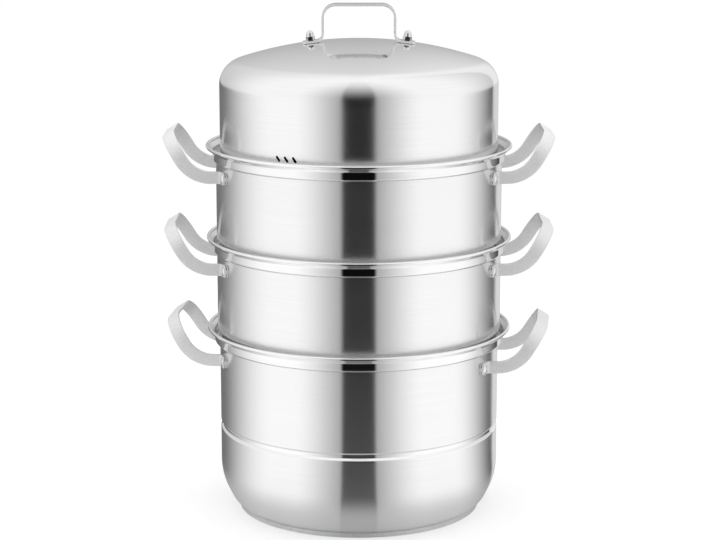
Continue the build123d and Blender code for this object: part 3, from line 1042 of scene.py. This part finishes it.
# Light edge far round on the right, dark notch far round on the left, and the blend between them behind
EDGE_RIGHT = 144.0
NOTCH_LEFT = -162.0
NOTCH_LEVEL = 0.08
EDGE_LEVEL = 0.66
EDGE_SKY = 0.85
EDGE_SOFT = 2.0
SEAM_START = 160.0
SEAM_END = 180.0
SEAM_LEVEL = 0.45

# Floor close to the pot, which its lower corner mirrors, dimmed further by the net: painted shade of the pot
# on the floor
NEAR_LEVEL = 0.47
NEAR_SHARE = 0.17
NEAR_START = 0.13
NEAR_END = 0.24

# Reach and depth below the pot's base in millimetres, then paint, light and lamp
NET_REACH = 40000.0
NET_DETAIL = 4
FLOOR_REACH = 6000.0
NET_DROP = 0.1
FLOOR_DROP = 0.2
FLOOR_GLOW = 0.6
FLOOR_PAINT = (0.5, 0.5, 0.5, 1)
WORLD_LEVEL = 0.8
LAMP_SIZE = 1.6
LAMP_HEIGHT = 2.4
LAMP_POWER = 14.0


def back_fade(nodes, azimuth, fade, sign):
    """Fade of the white towards the back, on the right or the left."""
    start, end, low = fade
    return nodes.ramp(azimuth, sign * start, sign * end, 1.0, low)


def net_azimuth(nodes, x, y, flat, on_floor):
    """Azimuth in degrees in which a vessel's wall looks at a place.

    Near the pot, on the floor, it isn't the azimuth of the place, because the look starts at the wall.
    """
    turn = nodes.math("ARCTAN2", x, nodes.math("MULTIPLY", y, -1.0))
    if on_floor:
        half_sine = nodes.math("SINE", nodes.math("MULTIPLY", turn, 0.5))
        offset = nodes.math("MULTIPLY", half_sine, TIER_WALL_R * MM)
        turn = nodes.math("ADD", turn, nodes.math("ARCSINE", nodes.math("DIVIDE", offset, flat)))
    return nodes.math("MULTIPLY", turn, TO_DEGREES)


def round_level(nodes, azimuth, on_floor):
    """Share of the white that a net lets through, by azimuth alone."""
    right = nodes.ramp(azimuth, GAP_RIGHT - GAP_SOFT, GAP_RIGHT + GAP_SOFT)
    left = nodes.ramp(azimuth, GAP_LEFT + GAP_SOFT, GAP_LEFT - GAP_SOFT)
    side = nodes.math("ADD", right, left, clamp=True)
    swell = nodes.ramp(nodes.math("ABSOLUTE", azimuth), 0.0, SWELL_DEG, SWELL_FROM, 1.0)
    back_right = back_fade(nodes, azimuth, BACK_RIGHT if on_floor else BACK_SKY, 1)
    back_left = back_fade(nodes, azimuth, BACK_LEFT if on_floor else BACK_SKY, -1)
    back = nodes.math("MULTIPLY", back_right, back_left)
    if on_floor:
        low = NOTCH_LEVEL / BACK_LEFT[2]
        notch = nodes.ramp(azimuth, NOTCH_LEFT + EDGE_SOFT, NOTCH_LEFT - EDGE_SOFT, 1.0, low)
        back = nodes.math("MULTIPLY", back, notch)
    panels = nodes.math("MULTIPLY", nodes.math("MULTIPLY", side, swell), back)
    edge_level = EDGE_LEVEL if on_floor else EDGE_SKY
    edge = nodes.ramp(azimuth, EDGE_RIGHT - EDGE_SOFT, EDGE_RIGHT + EDGE_SOFT, 0.0, edge_level)
    behind = nodes.ramp(nodes.math("ABSOLUTE", azimuth), SEAM_START, SEAM_END)
    return nodes.mix(behind, nodes.math("MAXIMUM", panels, edge), SEAM_LEVEL)


def net_level(nodes, on_floor):
    """Share of the white that a net lets through."""
    x, y, z = nodes.position_parts()
    flat = nodes.length(x, y)
    level = round_level(nodes, net_azimuth(nodes, x, y, flat, on_floor), on_floor)
    if on_floor:
        gap = nodes.ramp(flat, GAP_NEAR, GAP_FAR, GAP_GLOW, GAP_LEVEL)
        level = nodes.math("MAXIMUM", level, gap)
        near = nodes.math("ADD", nodes.math("MULTIPLY", level, NEAR_SHARE), NEAR_LEVEL)
        return nodes.mix(nodes.ramp(flat, NEAR_START, NEAR_END), near, level)
    level = nodes.math("MAXIMUM", level, GAP_LEVEL)
    height = nodes.math("MULTIPLY", nodes.math("ARCTAN2", z, flat), TO_DEGREES)
    return nodes.mix(nodes.ramp(height, SKY_START_DEG, SKY_END_DEG), level, 1.0)


def net_material(name, on_floor):
    """Grey net that dims what shows through it."""
    material, nodes = new_material(name)
    level = net_level(nodes, on_floor)
    color = nodes.add("ShaderNodeCombineColor", inputs={0: level, 1: level, 2: level}).outputs[0]
    nodes.surface(nodes.add("ShaderNodeBsdfTransparent", inputs={0: color}))
    return material


def make_net(name, mesh_data, on_floor, lift=0.0):
    """Net that only the steel's reflections pass through."""
    net = finish_mesh(name, mesh_data, [net_material(name, on_floor)])
    net.location.z = lift * MM
    net.visible_camera = False
    net.visible_diffuse = False
    net.visible_transmission = False
    net.visible_shadow = False


def floor_grid():
    """Plain square the size of the floor."""
    mesh_data = bmesh.new()
    bmesh.ops.create_grid(mesh_data, x_segments=1, y_segments=1, size=FLOOR_REACH)
    return mesh_data


def make_nets():
    """Nets round the pot and over the floor."""
    dome = bmesh.new()
    bmesh.ops.create_icosphere(dome, subdivisions=NET_DETAIL, radius=NET_REACH)
    make_net("studio_net", dome, False)
    make_net("floor_net", floor_grid(), True, -NET_DROP)


def white_for(nodes):
    """Camera, glossy and transmission rays, which all see the white background."""
    rays = nodes.add("ShaderNodeLightPath")
    seen = nodes.math("ADD", rays.outputs["Is Camera Ray"], rays.outputs["Is Glossy Ray"])
    return nodes.math("ADD", seen, rays.outputs["Is Transmission Ray"], clamp=True)


def make_world():
    """White background, and even light for the rest."""
    world = bpy.data.worlds.new("studio")
    world.use_nodes = True
    bpy.context.scene.world = world
    nodes = Nodes(world.node_tree)
    strength = nodes.ramp(white_for(nodes), 0.0, 1.0, WORLD_LEVEL, 1.0)
    background = nodes.add("ShaderNodeBackground", inputs={"Color": (1, 1, 1, 1), "Strength": strength})
    nodes.add("ShaderNodeOutputWorld", inputs={"Surface": background.outputs[0]})


def floor_material():
    """White floor that keeps a soft shadow."""
    material, nodes = new_material("studio_floor")
    glow = nodes.ramp(white_for(nodes), 0.0, 1.0, 0.0, FLOOR_GLOW)
    white = nodes.add("ShaderNodeEmission", inputs={"Strength": glow})
    paint = nodes.add("ShaderNodeBsdfDiffuse", inputs={"Color": FLOOR_PAINT})
    nodes.surface(nodes.add("ShaderNodeAddShader", inputs={0: white.outputs[0], 1: paint.outputs[0]}))
    return material


def make_floor():
    """Plain pale floor."""
    floor = finish_mesh("floor", floor_grid(), [floor_material()])
    floor.location.z = -FLOOR_DROP * MM


def make_lamp():
    """Soft square lamp overhead that gives the floor its shadow."""
    data = bpy.data.lights.new("lamp_top", "AREA")
    data.size = LAMP_SIZE
    data.energy = LAMP_POWER
    lamp = linked(bpy.data.objects.new("lamp_top", data))
    lamp.location = (0, 0, LAMP_HEIGHT)
    lamp.visible_glossy = False


def make_stage():
    """Camera, world, floor, nets and lamp."""
    make_camera()
    make_world()
    make_floor()
    make_nets()
    make_lamp()


make_vessels()
make_lid()
make_plates()
make_side_handles()
make_bail()
make_nuts()
dress_cad_nodes()
make_stage()
bpy.context.scene.view_settings.view_transform = "Standard"

bpy.context.view_layer.update()
